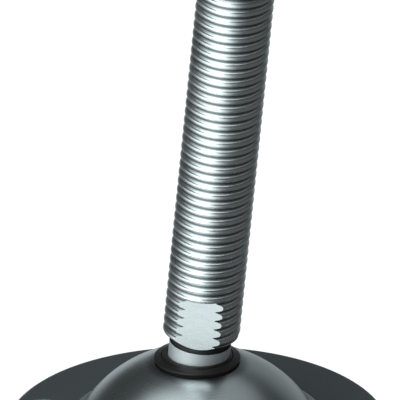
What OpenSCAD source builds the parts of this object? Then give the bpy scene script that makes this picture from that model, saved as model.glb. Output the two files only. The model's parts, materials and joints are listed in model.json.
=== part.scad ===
// Swivel leveling foot: a threaded stud with a spherical head that tilts and turns
// in a round rubber base under a pressed steel cover. Millimetres, +Z up.
// The origin is the centre of the underside of the base.

/* [Threaded stud] */
// Major diameter of the thread
thread_d = 16; // [14:0.5:16]
// Pitch of the thread
thread_pitch = 2; // [1:0.25:2]
// Distance from the ball's centre to the free end of the stud
stud_reach = 126; // [118:1:150]
// Diameter of the plain neck below the thread
neck_d = 12.8; // [11:0.1:12.9]
// Distance from the ball's centre to the top of the neck
neck_reach = 7.2; // [6:0.1:8]
// Depth of the relief groove between the neck and the thread
relief_depth = 0.35; // [0.1:0.05:0.5]
// Distance across the two wrench flats
flats_af = 13; // [12.95:0.05:13.5]
// Distance from the ball's centre to the top of the wrench flats
flats_reach = 19.5; // [12:0.1:30]
// Turn of the wrench flats about the stud, from square to the front
flats_turn = -8; // [-180:1:180]

/* [Ball joint] */
// Diameter of the spherical head
head_d = 21; // [20:0.1:21]
// Height of the ball's centre above the top of the base
pivot_rise = 12; // [11.8:0.1:12.2]
// Lean of the stud from the vertical
lean_angle = 5.9; // [0:0.1:12]
// Heading of the lean about the vertical, from +X
lean_heading = -28.5; // [-180:0.5:180]

/* [Cover] */
// Outer radius of the cover's dome
dome_r = 28.6; // [28.4:0.1:29]
// Sheet thickness of the cover
cover_wall = 1.6; // [1.2:0.1:1.6]
// Radius of the cover's flange
flange_r = 26.8; // [26.5:0.1:27.4]
// Height of the flange's upper face above the top of the base
flange_rise = 0.7; // [0.4:0.1:0.8]
// Radius of the hole at the top of the cover
cover_hole_r = 8.6; // [8.5:0.05:8.7]

/* [Base] */
// Diameter of the base
base_d = 80; // [78:1:90]
// Height of the base
base_h = 10; // [9:0.5:16]
// Rounding of the base's upper edge
rim_round = 2; // [1:0.25:2]
// Thickness of the support plate
plate_t = 2.5; // [2:0.1:3]
// Depth of the tread grooves
tread_depth = 1.2; // [0.6:0.1:1.5]
// Number of radial tread grooves
tread_count = 12; // [6:6:12]

/* [Hold-down sleeves] */
// Diameter of the hole through each sleeve
bolt_hole_d = 8; // [6:0.5:8]
// Wall of each sleeve
sleeve_wall = 0.8; // [0.5:0.1:0.8]
// Pitch circle diameter of the two sleeves
sleeve_pcd = 66; // [64.5:0.5:66]
// Heading of the left sleeve, from +X
sleeve_heading = 167; // [160:1:170]

/* [Lock nut and washer] */
// Distance from the ball's centre to the underside of the lock nut
nut_reach = 96; // [40:1:98]
// Distance across the lock nut's flats
nut_af = 24; // [22:0.5:24]
// Thickness of the lock nut
nut_t = 8; // [6:0.5:8]
// Outer diameter of the washer
washer_d = 30; // [26:1:32]
// Hole diameter of the washer
washer_hole_d = 17; // [16.5:0.1:17.5]
// Thickness of the washer
washer_t = 3; // [2:0.5:3]

/* [Hidden] */
$fn = 96;
skin = 1;

pivot_z = base_h + pivot_rise;
thread_r = thread_d / 2;
neck_r = neck_d / 2;
head_r = head_d / 2;
head_bottom = -9;
head_shoulder = -4.3;

thread_depth = 0.6134 * thread_pitch;
thread_crest = thread_pitch / 8;
thread_flank = thread_depth * tan(30);
root_r = thread_r - thread_depth;
relief_r = neck_r - relief_depth;
relief_top = neck_reach + 0.3;
thread_start = relief_top + 2.1;
tip_chamfer = 1.6;

joint_gap = 0.12;
running_gap = 0.06;
wiper_r = 8.2;
wiper_bottom = 0.9;
wiper_top = 4.1;
seal_clearance = 0.1;
seal_bottom = pivot_z + 0.6;
seal_throat_top = pivot_z + 2.5;
seal_rim = [8.75, pivot_z + 3.15];
seal_rim_round = 0.25;
seal_top_r = 7.5;
seal_top = pivot_z + 3.75;

dome_z = base_h - 12.8;
flange_top = base_h + flange_rise;
flange_bottom = flange_top - cover_wall;
flange_fillet = 0.8;
ring_gap = 0.05;
ring_t = 1.5;
ring_hole_r = 8.9;
ring_outer_r = 13.5;

plate_bottom = flange_bottom - plate_t;
boss_r = 4;
boss_length = 2.1;
cup_r = 14;
cup_bottom = flange_bottom + 0.1;
cup_top = pivot_z - 4.6;
cup_chamfer = 1;

tread_width = 2;
tread_rings = [12, 18, 24];
tread_inner_r = 9;
tread_centre_r = 4.5;
sleeve_bottom = 1;
bolt_hole_r = bolt_hole_d / 2;
sleeve_r = bolt_hole_r + sleeve_wall;

nut_bore_r = thread_r + running_gap;
nut_countersink = 0.6;
nut_face_r = nut_af * 0.475;
washer_reach = nut_reach + nut_t + 0.1;
washer_chamfer = 0.4;
plain_tip_start = washer_reach + washer_t + 1;
groove_count = ceil((plain_tip_start - thread_start) / thread_pitch);

// Corners of one arc of a profile, from one angle to another
function arc(centre, radius, from, to, steps = 8) = [
    for (i = [0:steps])
        let (a = from + (to - from) * i / steps)
        centre + radius * [cos(a), sin(a)]
];

// Radius of the dome's outer sphere at a height
function dome_radius_at(z) = sqrt(dome_r * dome_r - (z - dome_z) * (z - dome_z));

// Frame of the leaning stud, with its origin at the ball's centre
module along_stud() {
    translate([0, 0, pivot_z])
        rotate([0, 0, lean_heading])
            rotate([0, lean_angle, 0])
                rotate([0, 0, -lean_heading])
                    children();
}

// Tube along +Z
module tube(outer_r, inner_r, height) {
    difference() {
        cylinder(r = outer_r, h = height);
        translate([0, 0, -skin])
            cylinder(r = inner_r, h = height + 2 * skin);
    }
}

// Part of a sphere between two heights
module sphere_zone(radius, low, high) {
    intersection() {
        sphere(r = radius);
        translate([0, 0, low])
            cylinder(r = radius + skin, h = high - low);
    }
}

// Thread drawn as rings at the true pitch and form; its free end keeps the plain major diameter
module shank() {
    grooves = [
        for (i = [0:groove_count - 1])
            let (low = thread_start + i * thread_pitch, high = low + thread_pitch)
            each [
                [thread_r, low + thread_crest / 2],
                [root_r, low + thread_crest / 2 + thread_flank],
                [root_r, high - thread_crest / 2 - thread_flank],
                [thread_r, high - thread_crest / 2]
            ]
    ];
    rotate_extrude()
        polygon(concat(
            [
                [0, head_shoulder - skin],
                [neck_r, head_shoulder - skin],
                [neck_r, neck_reach],
                [relief_r, neck_reach],
                [relief_r, relief_top],
                [thread_r, thread_start]
            ],
            grooves,
            [
                [thread_r, stud_reach - tip_chamfer],
                [thread_r - tip_chamfer, stud_reach],
                [0, stud_reach]
            ]
        ));
}

module wrench_flats() {
    for (side = [0, 180])
        rotate([0, 0, flats_turn + side])
            translate([-thread_r - skin, flats_af / 2, neck_reach - skin])
                cube([thread_d + 2 * skin, thread_r, flats_reach - neck_reach + skin]);
}

module threaded_stud() {
    color("silver")
        along_stud()
            difference() {
                union() {
                    sphere_zone(head_r, head_bottom, head_shoulder);
                    shank();
                }
                wrench_flats();
            }
}

// Inner lip of the seal: a rubber collar on the neck, round about the ball's centre
module neck_wiper() {
    color("#2c2b2b")
        difference() {
            translate([0, 0, pivot_z])
                sphere_zone(wiper_r, wiper_bottom, wiper_top);
            along_stud()
                cylinder(r = neck_r + running_gap, h = wiper_r);
        }
}

// Lower bearing: a socket that turns on its boss in the support plate
module ball_cup() {
    color("ivory")
        difference() {
            union() {
                translate([0, 0, cup_bottom])
                    rotate_extrude()
                        polygon([
                            [0, 0],
                            [cup_r - cup_chamfer, 0],
                            [cup_r, cup_chamfer],
                            [cup_r, cup_top - cup_bottom - cup_chamfer],
                            [cup_r - cup_chamfer, cup_top - cup_bottom],
                            [0, cup_top - cup_bottom]
                        ]);
                translate([0, 0, cup_bottom - boss_length])
                    cylinder(r = boss_r, h = boss_length + skin);
            }
            translate([0, 0, pivot_z])
                sphere(r = head_r + joint_gap);
        }
}

// Upper bearing: a dished ring under the cover that keeps the head in
module retaining_ring() {
    shell_r = dome_r - cover_wall - ring_gap;
    color("gray")
        translate([0, 0, dome_z])
            difference() {
                intersection() {
                    sphere(r = shell_r);
                    tube(ring_outer_r, ring_hole_r, dome_r);
                }
                sphere(r = shell_r - ring_t);
            }
}

// Outer lip of the seal: seated in the cover's hole, with a rim that stands over the dome
module seal_ring() {
    color("#2c2b2b")
        difference() {
            rotate_extrude()
                polygon(concat(
                    [
                        [neck_r, seal_bottom],
                        [cover_hole_r, seal_bottom],
                        [cover_hole_r, seal_throat_top]
                    ],
                    arc(seal_rim, seal_rim_round, -35, 75),
                    [[seal_top_r, seal_top], [neck_r, seal_top]]
                ));
            translate([0, 0, pivot_z])
                sphere(r = wiper_r + seal_clearance);
        }
}

// Pressed cover: a dome with a flange that sits on the support plate
module dome_cover() {
    foot_r = dome_radius_at(flange_top);
    color("darkgray")
        difference() {
            union() {
                translate([0, 0, dome_z])
                    sphere_zone(dome_r, flange_bottom - dome_z, dome_r);
                translate([0, 0, flange_bottom])
                    cylinder(r = flange_r, h = cover_wall);
                translate([0, 0, flange_top])
                    cylinder(r1 = foot_r + flange_fillet / 2, r2 = foot_r - flange_fillet, h = flange_fillet);
            }
            translate([0, 0, dome_z])
                sphere(r = dome_r - cover_wall);
            translate([0, 0, pivot_z])
                cylinder(r = cover_hole_r, h = dome_r);
        }
}

// Steel plate bonded in the base, under the flange
module support_plate() {
    color("slategray")
        translate([0, 0, plate_bottom])
            tube(flange_r, boss_r + running_gap, plate_t);
}

// Grooves cut in the underside: rings, spokes and a shallow recess in the middle
module tread() {
    translate([0, 0, -skin]) {
        cylinder(r = tread_centre_r, h = tread_depth + skin);
        for (radius = tread_rings)
            tube(radius + tread_width, radius, tread_depth + skin);
        for (i = [0:tread_count - 1])
            rotate([0, 0, sleeve_heading + (i + 0.5) * 360 / tread_count])
                translate([tread_inner_r, -tread_width / 2, 0])
                    cube([base_d / 2, tread_width, tread_depth + skin]);
    }
}

// Frame of the sleeve on one side: 0 for the left one, 180 for the right one
module at_sleeve(side) {
    rotate([0, 0, sleeve_heading + side])
        translate([sleeve_pcd / 2, 0, 0])
            children();
}

// Moulded rubber disc with tread grooves underneath
module base_pad() {
    base_r = base_d / 2;
    color("#3c4040")
        difference() {
            rotate_extrude()
                polygon(concat(
                    [[0, 0], [base_r - 1, 0], [base_r, 1]],
                    arc([base_r - rim_round, base_h - rim_round], rim_round, 0, 90),
                    [[0, base_h]]
                ));
            translate([0, 0, plate_bottom])
                cylinder(r = flange_r, h = base_h);
            tread();
            for (side = [0, 180])
                at_sleeve(side) {
                    translate([0, 0, -skin])
                        cylinder(r = bolt_hole_r, h = base_h);
                    translate([0, 0, sleeve_bottom])
                        cylinder(r = sleeve_r, h = base_h);
                }
        }
}

// Steel sleeve that takes a hold-down bolt through the rubber
module sleeve(side) {
    color("lightgray")
        at_sleeve(side)
            translate([0, 0, sleeve_bottom])
                tube(sleeve_r, bolt_hole_r, base_h - sleeve_bottom);
}

module sleeve_left() {
    sleeve(0);
}

module sleeve_right() {
    sleeve(180);
}

// Thin hexagon nut with chamfered faces; its thread is left out and the bore clears the stud
module lock_nut() {
    corner_r = nut_af / sqrt(3);
    face_drop = (corner_r + skin - nut_face_r) * tan(30);
    color("silver")
        along_stud()
            translate([0, 0, nut_reach])
                intersection() {
                    cylinder(r = corner_r, h = nut_t, $fn = 6);
                    rotate_extrude()
                        polygon([
                            [nut_bore_r + nut_countersink, 0],
                            [nut_face_r, 0],
                            [corner_r + skin, face_drop],
                            [corner_r + skin, nut_t - face_drop],
                            [nut_face_r, nut_t],
                            [nut_bore_r + nut_countersink, nut_t],
                            [nut_bore_r, nut_t - nut_countersink],
                            [nut_bore_r, nut_countersink]
                        ]);
                }
}

module washer() {
    outer_r = washer_d / 2;
    color("gainsboro")
        along_stud()
            translate([0, 0, washer_reach])
                rotate_extrude()
                    polygon([
                        [washer_hole_d / 2, 0],
                        [outer_r, 0],
                        [outer_r, washer_t - washer_chamfer],
                        [outer_r - washer_chamfer, washer_t],
                        [washer_hole_d / 2, washer_t]
                    ]);
}

threaded_stud();
neck_wiper();
ball_cup();
retaining_ring();
seal_ring();
dome_cover();
support_plate();
base_pad();
sleeve_left();
sleeve_right();
lock_nut();
washer();
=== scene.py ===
import json
import math

import bmesh
import bpy
from mathutils import Matrix, Vector


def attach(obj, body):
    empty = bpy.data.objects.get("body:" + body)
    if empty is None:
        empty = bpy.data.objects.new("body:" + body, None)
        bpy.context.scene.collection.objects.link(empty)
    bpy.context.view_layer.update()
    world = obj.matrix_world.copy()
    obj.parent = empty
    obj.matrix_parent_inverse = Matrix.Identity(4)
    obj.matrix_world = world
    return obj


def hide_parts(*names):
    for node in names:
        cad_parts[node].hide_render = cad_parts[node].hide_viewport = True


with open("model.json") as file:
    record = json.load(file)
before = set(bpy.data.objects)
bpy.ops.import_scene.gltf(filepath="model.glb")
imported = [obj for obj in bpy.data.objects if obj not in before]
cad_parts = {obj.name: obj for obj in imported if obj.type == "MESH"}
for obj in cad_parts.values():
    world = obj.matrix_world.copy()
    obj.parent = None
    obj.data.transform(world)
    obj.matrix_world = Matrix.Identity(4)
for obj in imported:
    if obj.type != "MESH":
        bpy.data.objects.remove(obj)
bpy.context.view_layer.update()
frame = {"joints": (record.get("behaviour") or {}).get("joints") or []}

# Meshes are made in millimetres and scaled down once; the frame is in metres.
MM = 0.001
TURN = 2 * math.pi

# --- The part's own sizes -------------------------------------------------------------------

# Millimetres, as in the CAD source. Only RELIEF_TOP differs: the CAD's relief groove ends at 7.5.
THREAD_R, PITCH = 8.0, 2.0
NECK_R, NECK_REACH = 6.4, 7.2
RELIEF_R, RELIEF_TOP, THREAD_START = 6.05, 7.8, 9.6
FLATS_HALF, FLATS_REACH, FLATS_TURN = 6.5, 19.5, -8.0
HEAD_R, HEAD_BOTTOM, HEAD_SHOULDER = 10.5, -9.0, -4.3
STUD_REACH, TIP_CHAMFER = 126.0, 1.6
PIVOT_Z = 22.0
DOME_R, DOME_Z, COVER_WALL = 28.6, -2.8, 1.6
FLANGE_R, FLANGE_LOW, FLANGE_TOP = 26.8, 9.1, 10.7
COVER_HOLE_R = 8.6
BASE_R, BASE_H, RIM_ROUND = 40.0, 10.0, 2.0
PLATE_LOW, BOSS_R = 6.6, 4.0
SLEEVE_R, BOLT_R, SLEEVE_LOW = 4.8, 4.0, 1.0
SLEEVE_HEADING, SLEEVE_OFFSET = 167.0, 33.0
TREAD_DEPTH, TREAD_WIDTH, TREAD_RINGS, TREAD_SPOKES = 1.2, 2.0, (12.0, 18.0, 24.0), 12
TREAD_CENTRE_R, TREAD_INNER_R = 4.5, 9.0
NUT_REACH, NUT_T, NUT_AF = 96.0, 8.0, 24.0
WASHER_REACH, WASHER_T, WASHER_R, WASHER_HOLE_R = 104.1, 3.0, 15.0, 8.5
RUNNING_GAP = 0.06

joints = {joint["name"]: joint for joint in frame["joints"]}
stud_axis = Vector(joints["stud_spin"]["axis"]).normalized()
pivot = Vector(joints["stud_spin"]["pos_m"])
stud_turn = Vector((0, 0, 1)).rotation_difference(stud_axis)
# Takes the stud's own frame, with its origin at the ball's centre, to the row frame
ALONG_STUD = Matrix.Translation(pivot / MM) @ stud_turn.to_matrix().to_4x4()


# --- Outlines -------------------------------------------------------------------------------

def arc(centre, radius, start, end, steps=12):
    """Points of one arc, from one angle to another in degrees."""
    angles = [math.radians(start + (end - start) * i / steps) for i in range(steps + 1)]
    return [(centre[0] + radius * math.cos(a), centre[1] + radius * math.sin(a)) for a in angles]


def angle_at(radius, reach):
    """Angle in degrees at which a circle's edge is that far above its centre."""
    return math.degrees(math.asin(reach / radius))


def rounded(corners, steps=4, guard=0.04):
    """Closed outline from (x, y) and (x, y, radius) corners, the latter rounded by an arc.
    A guard point just before and after each arc keeps the flat faces beside it flat."""
    points = []
    for i, corner in enumerate(corners):
        here = Vector(corner[:2])
        radius = corner[2] if len(corner) > 2 else 0
        if not radius:
            points.append(tuple(here))
            continue
        back = Vector(corners[i - 1][:2]) - here
        on = Vector(corners[(i + 1) % len(corners)][:2]) - here
        half = back.angle(on) / 2
        reach = min(radius / math.tan(half), 0.48 * back.length, 0.48 * on.length)
        radius = reach * math.tan(half)
        back.normalize()
        on.normalize()
        centre = here + (back + on).normalized() * (radius / math.sin(half))
        start, end = here + back * reach - centre, here + on * reach - centre
        sweep = start.angle_signed(end)
        points.append(tuple(here + back * (reach + guard)))
        for k in range(steps + 1):
            turn = Matrix.Rotation(-sweep * k / steps, 2)
            points.append(tuple(centre + turn @ start))
        points.append(tuple(here + on * (reach + guard)))
    return points


# --- Meshes ---------------------------------------------------------------------------------

def mesh_from(name, vertices, faces):
    """Mesh with its doubled points merged and its faces turned outward."""
    mesh = bpy.data.meshes.new(name)
    mesh.from_pydata(vertices, [], faces)
    work = bmesh.new()
    work.from_mesh(mesh)
    bmesh.ops.remove_doubles(work, verts=work.verts, dist=1e-5)
    bmesh.ops.recalc_face_normals(work, faces=work.faces)
    work.to_mesh(mesh)
    work.free()
    return mesh


def turned(name, outline, columns=128):
    """Solid of revolution about Z from a closed outline of (radius, height) points."""
    vertices, rows = [], []
    for radius, height in outline:
        start = len(vertices)
        if radius < 1e-6:
            vertices.append((0, 0, height))
            rows.append([start] * columns)
            continue
        for i in range(columns):
            a = TURN * i / columns
            vertices.append((radius * math.cos(a), radius * math.sin(a), height))
        rows.append(list(range(start, start + columns)))
    faces = []
    for low, high in zip(rows, rows[1:] + rows[:1]):
        for i in range(columns):
            j = (i + 1) % columns
            face = list(dict.fromkeys((low[i], low[j], high[j], high[i])))
            if len(face) > 2:
                faces.append(face)
    return mesh_from(name, vertices, faces)


def prism(name, outline, low, high, draft=0.0):
    """Upright prism on an (x, y) outline; its top is smaller than its foot by the draft's share."""
    count = len(outline)
    vertices = [(x, y, low) for x, y in outline]
    vertices += [(x * (1 - draft), y * (1 - draft), high) for x, y in outline]
    faces = [[i, (i + 1) % count, count + (i + 1) % count, count + i] for i in range(count)]
    faces += [list(range(count))[::-1], list(range(count, 2 * count))]
    return mesh_from(name, vertices, faces)


def combine(mesh, other, operation):
    """The boolean result of two closed meshes; both are used up."""
    first = bpy.data.objects.new("first", mesh)
    second = bpy.data.objects.new("second", other)
    for obj in (first, second):
        bpy.context.scene.collection.objects.link(obj)
    modifier = first.modifiers.new("boolean", "BOOLEAN")
    modifier.operation = operation
    modifier.solver = "MANIFOLD"
    modifier.object = second
    graph = bpy.context.evaluated_depsgraph_get()
    result = bpy.data.meshes.new_from_object(first.evaluated_get(graph))
    result.name = mesh.name
    for obj in (first, second):
        bpy.data.objects.remove(obj)
    return result


def cut(mesh, *cutters):
    """The mesh less each cutter."""
    for cutter in cutters:
        mesh = combine(mesh, cutter, "DIFFERENCE")
    return mesh


def moved(mesh, matrix):
    """The same mesh, transformed in place."""
    mesh.transform(matrix)
    return mesh


def piece(mesh, name, body, nodes, material, crease=32, flat=()):
    """Finished object of a mesh in millimetres. Faces along a direction in flat stay flat-shaded."""
    mesh.transform(Matrix.Scale(MM, 4))
    mesh.shade_smooth()
    mesh.set_sharp_from_angle(angle=math.radians(crease))
    for direction in flat:
        for face in mesh.polygons:
            if abs(face.normal.dot(direction)) > 0.9998:
                face.use_smooth = False
    mesh.materials.clear()
    mesh.materials.append(material)
    obj = bpy.data.objects.new(name, mesh)
    bpy.context.scene.collection.objects.link(obj)
    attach(obj, body)
    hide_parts(*nodes)
    return obj


# --- Node helpers ---------------------------------------------------------------------------

def add(tree, kind, inputs=None, **settings):
    """A node with its settings, and its inputs given as values or as other nodes' outputs."""
    made = tree.nodes.new(kind)
    for key, value in settings.items():
        setattr(made, key, value)
    for key, value in (inputs or {}).items():
        if isinstance(value, bpy.types.NodeSocket):
            tree.links.new(value, made.inputs[key])
        else:
            made.inputs[key].default_value = value
    return made


def calc(tree, operation, *values):
    """Output of a Math node."""
    return add(tree, "ShaderNodeMath", dict(enumerate(values)), operation=operation).outputs[0]


def ranged(tree, value, low, high, out_low, out_high, smooth=False):
    """Output of a Map Range node."""
    inputs = {"Value": value, "From Min": low, "From Max": high, "To Min": out_low, "To Max": out_high}
    kind = "SMOOTHSTEP" if smooth else "LINEAR"
    return add(tree, "ShaderNodeMapRange", inputs, interpolation_type=kind).outputs[0]


def noise(tree, vector, scale, detail=2.0, roughness=0.5):
    inputs = {"Vector": vector, "Scale": scale, "Detail": detail, "Roughness": roughness}
    return add(tree, "ShaderNodeTexNoise", inputs).outputs[0]


def blend_colours(tree, factor, first, second):
    """Colour from first to second as the factor goes from 0 to 1."""
    mix = add(tree, "ShaderNodeMix", data_type="RGBA")
    tree.links.new(factor, mix.inputs[0])
    ends = [socket for socket in mix.inputs if socket.type == "RGBA"]
    for socket, colour in zip(ends, (first, second)):
        socket.default_value = (*colour, 1)
    return next(socket for socket in mix.outputs if socket.type == "RGBA")


def darkened(tree, colour, shade):
    """The colour times a shade."""
    return add(tree, "ShaderNodeVectorMath", {0: colour, "Scale": shade}, operation="SCALE").outputs[0]


def new_material(name):
    material = bpy.data.materials.new(name)
    material.use_nodes = True
    tree = material.node_tree
    shader = tree.nodes["Principled BSDF"]
    coordinates = add(tree, "ShaderNodeTexCoord").outputs["Object"]
    return material, tree, shader, coordinates


def bump(tree, shader, height, strength, distance):
    inputs = {"Height": height, "Strength": strength, "Distance": distance}
    tree.links.new(add(tree, "ShaderNodeBump", inputs).outputs[0], shader.inputs["Normal"])


def stretched(tree, vector, scale):
    return add(tree, "ShaderNodeVectorMath", {0: vector, 1: scale}, operation="MULTIPLY").outputs[0]


def turning(tree, vector):
    """Coordinates for marks left by turning: radius, a slow heading, height."""
    parts = add(tree, "ShaderNodeSeparateXYZ", {0: vector}).outputs
    squares = calc(tree, "ADD", calc(tree, "MULTIPLY", parts[0], parts[0]),
                   calc(tree, "MULTIPLY", parts[1], parts[1]))
    radius = calc(tree, "SQRT", squares)
    inputs = {0: radius, 1: calc(tree, "MULTIPLY", radius, 0.12), 2: parts[2]}
    return add(tree, "ShaderNodeCombineXYZ", inputs).outputs[0], radius


# --- Materials ------------------------------------------------------------------------------

# Painted shading of the stud. It is part of the material, so it stays whatever the light: the share
# of its colour that is left in the thread's roots, on the flats, on the neck and in the relief
# groove. The neck is also duller. The root's shade fades out between the two radii.
ROOT_SHADE, FLAT_SHADE, NECK_SHADE, RELIEF_SHADE = 0.32, 0.78, 0.98, 0.1
NECK_DULL = 0.37
SHADED_ROOT_R, SHADED_CREST_R = 7.2, 7.7


def stud_shading(tree, place, radius):
    """Shade of the stud's colour, and its added roughness, in the stud's own frame."""
    reach = add(tree, "ShaderNodeSeparateXYZ", {0: place}).outputs[2]
    neck = calc(tree, "LESS_THAN", reach, (RELIEF_TOP + 0.05) * MM)
    in_relief = calc(tree, "GREATER_THAN", reach, (NECK_REACH - 0.12) * MM)
    across = math.radians(FLATS_TURN)
    inputs = {0: place, 1: (-math.sin(across), math.cos(across), 0)}
    offset = add(tree, "ShaderNodeVectorMath", inputs, operation="DOT_PRODUCT").outputs["Value"]
    flat = calc(tree, "MULTIPLY",
                calc(tree, "GREATER_THAN", calc(tree, "ABSOLUTE", offset), (FLATS_HALF - 0.01) * MM),
                calc(tree, "LESS_THAN", reach, (FLATS_REACH + 0.02) * MM))
    threaded = calc(tree, "SUBTRACT", calc(tree, "SUBTRACT", 1, neck), flat)
    on_neck = ranged(tree, in_relief, 0, 1, NECK_SHADE, RELIEF_SHADE)
    on_thread = ranged(tree, radius, SHADED_ROOT_R * MM, SHADED_CREST_R * MM, ROOT_SHADE, 1, smooth=True)
    shade = calc(tree, "ADD", calc(tree, "MULTIPLY", neck, on_neck),
                 calc(tree, "MULTIPLY", flat, FLAT_SHADE))
    shade = calc(tree, "ADD", shade, calc(tree, "MULTIPLY", threaded, on_thread))
    return shade, calc(tree, "MULTIPLY", neck, NECK_DULL)


def steel(name, dark, light, rough, marks, mark_strength, sheen=0.045, on_stud=False, threaded=False,
          painted_shade_ring=None):
    """Metal with slow colour changes, marks of turning or rolling, and fine pits. Its marks follow
    the base's axis or, on the stud, the stud's. On the stud, threaded adds the stud's painted shading.
    The last argument paints shade: darker metal close around that axis, given as its inner and
    outer radius in mm and its shade."""
    material, tree, shader, place = new_material(name)
    if on_stud:
        inputs = {"Vector": place, "Location": pivot, "Rotation": stud_turn.to_euler()}
        place = add(tree, "ShaderNodeMapping", inputs, vector_type="TEXTURE").outputs[0]
    around, radius = turning(tree, place)
    slow = noise(tree, place, 90, 3)
    lines = noise(tree, stretched(tree, around, (marks, marks, marks)), 1, 3, 0.6)
    pits = noise(tree, place, 2600, 2, 0.6)
    colour = blend_colours(tree, ranged(tree, slow, 0.35, 0.65, 0, 1), dark, light)
    dull = rough
    # Painted shade: the metal is darker close around the axis, fading out between the two radii.
    if painted_shade_ring:
        inner, outer, shade = painted_shade_ring
        fade = ranged(tree, radius, inner * MM, outer * MM, shade, 1, smooth=True)
        colour = darkened(tree, colour, fade)
    if threaded:
        shade, duller = stud_shading(tree, place, radius)
        colour = darkened(tree, colour, shade)
        dull = calc(tree, "ADD", rough, duller)
    tree.links.new(colour, shader.inputs["Base Color"])
    spread = calc(tree, "ADD", ranged(tree, slow, 0.3, 0.7, -0.7 * sheen, 0.7 * sheen),
                  ranged(tree, lines, 0.3, 0.7, -sheen, sheen))
    tree.links.new(calc(tree, "ADD", spread, dull), shader.inputs["Roughness"])
    shader.inputs["Metallic"].default_value = 1
    height = calc(tree, "ADD", lines, calc(tree, "MULTIPLY", pits, 0.5))
    bump(tree, shader, height, mark_strength, 0.00002)
    return material


def rubber(name, dark, light, rough, grain, strength, gloss=0.5):
    """Moulded rubber: a fine grain, and slow cloudy changes of colour and roughness."""
    material, tree, shader, place = new_material(name)
    slow = noise(tree, place, 70, 4, 0.6)
    fine = noise(tree, place, grain, 3, 0.7)
    colour = blend_colours(tree, ranged(tree, slow, 0.3, 0.7, 0, 1), dark, light)
    tree.links.new(colour, shader.inputs["Base Color"])
    spread = calc(tree, "ADD", ranged(tree, slow, 0.3, 0.7, -0.04, 0.04),
                  ranged(tree, fine, 0.3, 0.7, -0.05, 0.05))
    tree.links.new(calc(tree, "ADD", spread, rough), shader.inputs["Roughness"])
    shader.inputs["Specular IOR Level"].default_value = gloss
    bump(tree, shader, fine, strength, 0.00005)
    return material


def plastic(name, dark, light, rough):
    """Moulded plastic, slightly translucent."""
    material, tree, shader, place = new_material(name)
    slow = noise(tree, place, 110, 3)
    fine = noise(tree, place, 1800, 2)
    tree.links.new(blend_colours(tree, slow, dark, light), shader.inputs["Base Color"])
    uneven = ranged(tree, fine, 0.3, 0.7, rough - 0.05, rough + 0.05)
    tree.links.new(uneven, shader.inputs["Roughness"])
    shader.inputs["Subsurface Weight"].default_value = 0.08
    shader.inputs["Subsurface Scale"].default_value = 0.002
    bump(tree, shader, fine, 0.15, 0.00003)
    return material


stud_steel = steel("stud_steel", (0.82, 0.85, 0.86), (0.88, 0.905, 0.91), 0.27, 3000, 0.06,
                   on_stud=True, threaded=True)
# The cover's metal is painted darker close around the seal, fading out from 9.0 to 11.4 mm: painted shade.
cover_steel = steel("cover_steel", (0.53, 0.565, 0.575), (0.56, 0.595, 0.605), 0.265, 5000, 0.003,
                    sheen=0.01, painted_shade_ring=(9.0, 11.4, 0.42))
plain_steel = steel("plain_steel", (0.36, 0.37, 0.38), (0.46, 0.47, 0.48), 0.42, 1500, 0.3)
zinc_steel = steel("zinc_steel", (0.60, 0.63, 0.64), (0.70, 0.72, 0.72), 0.28, 1800, 0.12)
zinc_on_stud = steel("zinc_on_stud", (0.60, 0.63, 0.64), (0.70, 0.72, 0.72), 0.28, 1800, 0.12,
                     on_stud=True)
seal_rubber = rubber("seal_rubber", (0.016, 0.014, 0.0135), (0.021, 0.018, 0.017), 0.33, 3500, 0.12,
                     gloss=0.34)
base_rubber = rubber("base_rubber", (0.064, 0.073, 0.075), (0.074, 0.083, 0.085), 0.62, 2200, 0.3)
acetal = plastic("acetal", (0.74, 0.71, 0.63), (0.82, 0.79, 0.72), 0.38)


# --- Stud -----------------------------------------------------------------------------------

def thread_groove(start, end, columns, skipped):
    """The groove of the right-hand thread, as a closed helical bar that stands out past the crests.
    It begins after the first skipped columns of its first turn. It is rounder and shallower than
    the rings in the CAD source, with flanks at 30 degrees."""
    crest_round, root_round, crest_gap = 0.75, 0.14, 0.03
    overshoot, guard = 0.24, 0.004
    crest_edge = PITCH / 2 - crest_gap
    tangent_r = THREAD_R - crest_round / 2
    tangent_s = crest_edge - crest_round * math.cos(math.radians(30))
    bottom_r = tangent_r - tangent_s * math.sqrt(3) + 2 * root_round
    bottom = arc((bottom_r, 0), root_round, 120, 240, 8)
    upper = [(THREAD_R + overshoot, PITCH / 2 - 0.01), (THREAD_R + guard, crest_edge + guard)]
    upper += arc((THREAD_R - crest_round, crest_edge), crest_round, 0, -60, 12)
    section = upper + bottom + [(r, -s) for r, s in reversed(upper)]
    count = len(section)
    total = int((end - start) / PITCH * columns)
    vertices = []
    for j in range(skipped, total + 1):
        a = TURN * j / columns
        for r, s in section:
            vertices.append((r * math.cos(a), r * math.sin(a), start + s + PITCH * j / columns))
    faces = []
    for j in range(total - skipped):
        low, high = j * count, (j + 1) * count
        for i in range(count):
            k = (i + 1) % count
            faces.append([low + i, low + k, high + k, high + i])
    faces.append(list(range(count)))
    faces.append([(total - skipped) * count + i for i in reversed(range(count))])
    return mesh_from("groove", vertices, faces)


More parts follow.
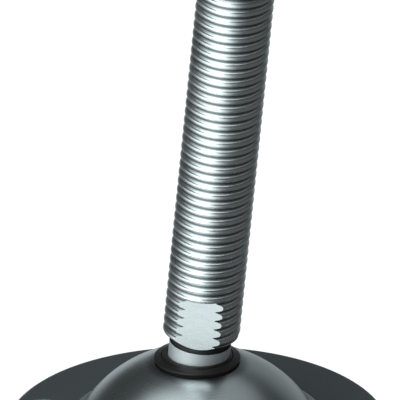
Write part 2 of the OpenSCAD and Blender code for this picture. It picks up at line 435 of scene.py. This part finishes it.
def make_stud():
    low, high = (math.sqrt(HEAD_R ** 2 - s * s) for s in (HEAD_BOTTOM, HEAD_SHOULDER))
    outline = rounded([
        (0, HEAD_BOTTOM),
        (low, HEAD_BOTTOM, 0.3),
        *arc((0, 0), HEAD_R, -angle_at(HEAD_R, -HEAD_BOTTOM), -angle_at(HEAD_R, -HEAD_SHOULDER), 12)[1:-1],
        (high, HEAD_SHOULDER, 0.3),
        (NECK_R, HEAD_SHOULDER, 0.8),
        (NECK_R, NECK_REACH, 0.15),
        (RELIEF_R, NECK_REACH, 0.08),
        (RELIEF_R, RELIEF_TOP, 0.1),
        (THREAD_R, THREAD_START, 0.3),
        (THREAD_R, STUD_REACH - TIP_CHAMFER, 0.15),
        (THREAD_R - TIP_CHAMFER, STUD_REACH, 0.2),
        (0, STUD_REACH),
    ])
    columns = 128
    mesh = cut(turned("threaded_stud", outline, columns),
               thread_groove(RELIEF_TOP, STUD_REACH + TIP_CHAMFER, columns, skipped=86))
    turn = Matrix.Rotation(math.radians(FLATS_TURN), 4, "Z")
    wide, deep = 11, 13
    box = [(-wide, FLATS_HALF), (wide, FLATS_HALF), (wide, deep), (-wide, deep)]
    for side in (0, math.pi):
        flat = prism("flat", box, NECK_REACH - 1, FLATS_REACH)
        mesh = cut(mesh, moved(flat, turn @ Matrix.Rotation(side, 4, "Z")))
    flat_direction = (ALONG_STUD.to_3x3() @ turn.to_3x3()) @ Vector((0, 1, 0))
    piece(moved(mesh, ALONG_STUD), "stud", "stud", ["threaded_stud"], stud_steel,
          crease=40, flat=[flat_direction, stud_axis])


make_stud()


# --- Seal and bearing -----------------------------------------------------------------------

def make_seal():
    reach = 8.3
    rim, rim_round = (8.75, PIVOT_Z + 3.15), 0.25
    inner = arc((0, PIVOT_Z), reach, angle_at(reach, 3.72), angle_at(reach, 0.6), 10)
    outline = rounded([
        inner[-1],
        (COVER_HOLE_R, PIVOT_Z + 0.6, 0.1),
        (COVER_HOLE_R, PIVOT_Z + 2.5),
        *arc(rim, rim_round, -35, 75, 10),
        (*inner[0], 0.1),
        *inner[1:-1],
    ])
    piece(turned("seal_ring", outline), "seal", "base", ["seal_ring"], seal_rubber)


def make_wiper():
    radius, low, high = 8.2, 0.9, 4.1
    inside_bore = 5
    bore_r = NECK_R + RUNNING_GAP
    outline = rounded([
        (inside_bore, low),
        (math.sqrt(radius ** 2 - low ** 2), low, 0.1),
        *arc((0, 0), radius, angle_at(radius, low), angle_at(radius, high), 10)[1:-1],
        (math.sqrt(radius ** 2 - high ** 2), high, 0.25),
        (inside_bore, high),
    ])
    ring = moved(turned("neck_wiper", outline), Matrix.Translation((0, 0, PIVOT_Z)))
    bore = [(0, -1), (bore_r, -1), (bore_r, radius), (0, radius)]
    mesh = cut(ring, moved(turned("bore", bore), ALONG_STUD))
    piece(mesh, "wiper", "wiper", ["neck_wiper"], seal_rubber)


def make_cup():
    socket, mouth = HEAD_R + 0.12, 4.6
    cup_r, boss_length, chamfer = 14, 2.1, 1
    low, high = 9.2, PIVOT_Z - mouth
    outline = rounded([
        (0, low - boss_length),
        (BOSS_R, low - boss_length, 0.3),
        (BOSS_R, low, 0.3),
        (cup_r - chamfer, low, 0.3),
        (cup_r, low + chamfer, 0.3),
        (cup_r, high - chamfer, 0.3),
        (cup_r - chamfer, high, 0.3),
        *arc((0, PIVOT_Z), socket, -angle_at(socket, mouth), -90, 14),
    ])
    piece(turned("ball_cup", outline), "cup", "cup", ["ball_cup"], acetal)


def make_retaining_ring():
    gap, wall, rim_r, hole_r = 0.05, 1.5, 13.5, 8.9
    outer = DOME_R - COVER_WALL - gap
    inner = outer - wall
    bounds = [math.degrees(math.acos(r / sphere)) for sphere in (outer, inner) for r in (rim_r, hole_r)]
    outline = arc((0, DOME_Z), outer, bounds[0], bounds[1], 6)
    outline += arc((0, DOME_Z), inner, bounds[3], bounds[2], 6)
    piece(turned("retaining_ring", outline), "retainer", "base", ["retaining_ring"],
          plain_steel)


make_seal()
make_wiper()
make_cup()
make_retaining_ring()


# --- Cover and base -------------------------------------------------------------------------

def make_cover():
    inner = DOME_R - COVER_WALL

    def dome_angle(radius, height):
        return angle_at(radius, height - DOME_Z)

    foot = dome_angle(DOME_R, FLANGE_TOP)
    top = math.degrees(math.acos(COVER_HOLE_R / DOME_R))
    outer_arc = arc((0, DOME_Z), DOME_R, foot, top, 24)
    inner_arc = arc((0, DOME_Z), inner, math.degrees(math.acos(COVER_HOLE_R / inner)),
                    dome_angle(inner, FLANGE_LOW), 24)
    outline = rounded([
        (FLANGE_R, FLANGE_LOW, 0.25),
        (FLANGE_R, FLANGE_TOP, 0.45),
        (*outer_arc[0], 0.9),
        *outer_arc[1:-1],
        (*outer_arc[-1], 0.3),
        (*inner_arc[0], 0.2),
        *inner_arc[1:],
    ])
    piece(turned("dome_cover", outline, 192), "cover", "base", ["dome_cover"],
          cover_steel)


def make_plate():
    hole_r = BOSS_R + RUNNING_GAP
    outline = rounded([
        (hole_r, PLATE_LOW, 0.15), (FLANGE_R, PLATE_LOW, 0.2),
        (FLANGE_R, FLANGE_LOW, 0.2), (hole_r, FLANGE_LOW, 0.15),
    ])
    piece(turned("support_plate", outline, 192), "plate", "base", ["support_plate"],
          plain_steel)


def at_sleeve(side):
    turn = Matrix.Rotation(math.radians(SLEEVE_HEADING + side), 4, "Z")
    return turn @ Matrix.Translation((SLEEVE_OFFSET, 0, 0))


def make_base():
    outline = rounded([
        (0, 0),
        (BASE_R - 1, 0, 0.3),
        (BASE_R, 1, 0.6),
        (BASE_R, BASE_H, RIM_ROUND),
        (FLANGE_R, BASE_H, 0.2),
        (FLANGE_R, PLATE_LOW),
        (0, PLATE_LOW),
    ], steps=8)
    mesh = turned("base_pad", outline, 192)
    recess = rounded([(0, -1), (TREAD_CENTRE_R + 0.4, -1), (TREAD_CENTRE_R, TREAD_DEPTH, 0.3),
                      (0, TREAD_DEPTH)])
    cutters = [turned("centre", recess)]
    for radius in TREAD_RINGS:
        groove = rounded([
            (radius - 0.25, -1), (radius + TREAD_WIDTH + 0.25, -1),
            (radius + TREAD_WIDTH, TREAD_DEPTH, 0.4), (radius, TREAD_DEPTH, 0.4),
        ])
        cutters.append(turned("ring", groove, 192))
    for i in range(TREAD_SPOKES):
        heading = math.radians(SLEEVE_HEADING + (i + 0.5) * 360 / TREAD_SPOKES)
        half = TREAD_WIDTH / 2
        channel = rounded([(-half - 0.2, -1), (half + 0.2, -1), (half, TREAD_DEPTH, 0.4),
                           (-half, TREAD_DEPTH, 0.4)])
        spoke = prism("spoke", channel, TREAD_INNER_R, 1.5 * BASE_R)
        on_side = Matrix(((0, 0, 1, 0), (1, 0, 0, 0), (0, 1, 0, 0), (0, 0, 0, 1)))
        cutters.append(moved(spoke, Matrix.Rotation(heading, 4, "Z") @ on_side))
    hole = rounded([
        (0, -1), (BOLT_R + 0.5, -1), (BOLT_R + 0.5, 0, 0.1), (BOLT_R, 0.5, 0.2), (BOLT_R, SLEEVE_LOW),
        (SLEEVE_R, SLEEVE_LOW), (SLEEVE_R, BASE_H - 0.3), (SLEEVE_R + 0.3, BASE_H),
        (SLEEVE_R + 0.3, BASE_H + 1), (0, BASE_H + 1),
    ])
    cutters += [moved(turned("hole", hole, 64), at_sleeve(side)) for side in (0, 180)]
    piece(cut(mesh, *cutters), "base_rubber_pad", "base", ["base_pad"], base_rubber,
          flat=[Vector((0, 0, 1))])


def make_sleeve(name, node, side):
    outline = rounded([
        (BOLT_R, SLEEVE_LOW, 0.2), (SLEEVE_R, SLEEVE_LOW, 0.1),
        (SLEEVE_R, BASE_H, 0.2), (BOLT_R, BASE_H, 0.35),
    ])
    mesh = moved(turned(name, outline, 64), at_sleeve(side))
    piece(mesh, name, "base", [node], zinc_steel)


make_cover()
make_plate()
make_base()
make_sleeve("left_sleeve", "sleeve_left", 0)
make_sleeve("right_sleeve", "sleeve_right", 180)


# --- Lock nut and washer --------------------------------------------------------------------

def make_nut():
    corner = NUT_AF / math.sqrt(3)
    hexagon = [(corner * math.cos(TURN * i / 6), corner * math.sin(TURN * i / 6), 0.35)
               for i in range(6)]
    body = prism("lock_nut", rounded(hexagon), NUT_REACH, NUT_REACH + NUT_T)
    face, outside = NUT_AF * 0.475, corner + 1
    bore, sink = THREAD_R + RUNNING_GAP, 0.6
    drop = (outside - face) * math.tan(math.radians(30))
    outline = rounded([
        (bore + sink, 0, 0.1), (face, 0, 0.3), (outside, drop), (outside, NUT_T - drop),
        (face, NUT_T, 0.3), (bore + sink, NUT_T, 0.1), (bore, NUT_T - sink, 0.1), (bore, sink, 0.1),
    ])
    limits = moved(turned("limits", outline), Matrix.Translation((0, 0, NUT_REACH)))
    mesh = combine(body, limits, "INTERSECT")
    piece(moved(mesh, ALONG_STUD), "nut", "nut", ["lock_nut"], zinc_on_stud,
          crease=25, flat=[stud_axis])


def make_washer():
    outline = rounded([
        (WASHER_HOLE_R, 0, 0.15), (WASHER_R, 0, 0.3), (WASHER_R, WASHER_T, 0.5),
        (WASHER_HOLE_R, WASHER_T, 0.25),
    ])
    mesh = moved(turned("washer", outline), ALONG_STUD @ Matrix.Translation((0, 0, WASHER_REACH)))
    piece(mesh, "flat_washer", "washer", ["washer"], zinc_on_stud)


make_nut()
make_washer()


# --- Floor, light and camera ----------------------------------------------------------------

def make_floor():
    half = 3.0
    mesh = mesh_from("floor", [(-half, -half, 0), (half, -half, 0), (half, half, 0), (-half, half, 0)],
                     [[0, 1, 2, 3]])
    floor = bpy.data.objects.new("floor", mesh)
    bpy.context.scene.collection.objects.link(floor)
    material = bpy.data.materials.new("floor")
    material.use_nodes = True
    tree = material.node_tree
    tree.nodes.clear()
    glow = add(tree, "ShaderNodeEmission", {"Color": (1, 1, 1, 1), "Strength": 0.93})
    white = add(tree, "ShaderNodeBsdfDiffuse", {"Color": (0.25, 0.25, 0.25, 1)})
    both = add(tree, "ShaderNodeAddShader", {0: glow.outputs[0], 1: white.outputs[0]})
    out = add(tree, "ShaderNodeOutputMaterial")
    tree.links.new(both.outputs[0], out.inputs[0])
    mesh.materials.append(material)
    floor.visible_glossy = False


# Strength of the light from below the horizon, by heading from +X in degrees
LOW_LIGHT = [(-180, 0.8), (-168, 1.25), (-152, 1.6), (-132, 1.65), (-114, 1.35), (-100, 1.05),
             (-86, 0.45), (-72, 0.12), (-54, 0.045), (-30, 0.035), (48, 0.03), (80, 0.08),
             (92, 0.34), (106, 0.38), (119, 0.22), (130, 0.04), (155, 0.1), (180, 0.8)]
# Soft boxes above: direction, inner and outer half angle in degrees, strength
BOXES = [
    ((-0.43, -0.11, 0.90), 4, 34, 0.98),
    ((0.26, 0.20, 0.94), 18, 36, 0.34),
    ((0.25, 0.97, 0.02), 8, 42, 0.22),
    ((-0.43, -0.55, 0.72), 20, 34, 1.1),
    ((-0.50, -0.83, 0.25), 8, 28, 1.1),
    ((0.12, -0.36, 0.93), 10, 25, 0.85),
]
# Strength of the even light from everywhere, and how high above the horizon the low light fades out
EVEN_LIGHT, LOW_LIGHT_TOP = 0.06, 0.14


def make_world():
    world = bpy.data.worlds.new("studio")
    bpy.context.scene.world = world
    world.use_nodes = True
    tree = world.node_tree
    tree.nodes.clear()
    way = add(tree, "ShaderNodeTexCoord").outputs["Generated"]
    parts = add(tree, "ShaderNodeSeparateXYZ", {0: way}).outputs
    heading = calc(tree, "ARCTAN2", parts[1], parts[0])
    ramp = add(tree, "ShaderNodeValToRGB", {0: ranged(tree, heading, -math.pi, math.pi, 0, 1)})
    stops = ramp.color_ramp.elements
    while len(stops) < len(LOW_LIGHT):
        stops.new(0.5)
    for stop, (degrees, value) in zip(stops, LOW_LIGHT):
        stop.position = (degrees + 180) / 360
        stop.color = (value, value, value, 1)
    fade = ranged(tree, parts[2], 0, LOW_LIGHT_TOP, 1, 0, smooth=True)
    low = calc(tree, "MULTIPLY", ramp.outputs[0], fade)
    total = calc(tree, "ADD", low, EVEN_LIGHT)
    for direction, inner, outer, strength in BOXES:
        inputs = {0: way, 1: Vector(direction).normalized()}
        along = add(tree, "ShaderNodeVectorMath", inputs, operation="DOT_PRODUCT").outputs["Value"]
        edge = ranged(tree, along, math.cos(math.radians(outer)), math.cos(math.radians(inner)),
                      0, strength, smooth=True)
        total = calc(tree, "ADD", total, edge)
    studio = add(tree, "ShaderNodeBackground", {"Color": (0.89, 0.985, 1.0, 1), "Strength": total})
    seen = add(tree, "ShaderNodeBackground", {"Color": (1, 1, 1, 1), "Strength": 0.99})
    camera_ray = add(tree, "ShaderNodeLightPath").outputs["Is Camera Ray"]
    mix = add(tree, "ShaderNodeMixShader", {0: camera_ray, 1: studio.outputs[0], 2: seen.outputs[0]})
    out = add(tree, "ShaderNodeOutputWorld")
    tree.links.new(mix.outputs[0], out.inputs[0])


def make_camera():
    elevation = math.radians(24)
    toward = Vector((0, -math.cos(elevation), math.sin(elevation)))
    look_at = Vector((0.000574, 0.01886, 0.05235))
    seen_width = 0.0829
    data = bpy.data.cameras.new("camera")
    data.lens = 1400
    data.sensor_width = 36
    data.clip_end = 100
    camera = bpy.data.objects.new("camera", data)
    bpy.context.scene.collection.objects.link(camera)
    camera.location = look_at + toward * (seen_width * data.lens / data.sensor_width)
    camera.rotation_mode = "QUATERNION"
    camera.rotation_quaternion = (-toward).to_track_quat("-Z", "Y")
    bpy.context.scene.camera = camera


make_floor()
make_world()
make_camera()
bpy.context.scene.view_settings.view_transform = "Standard"
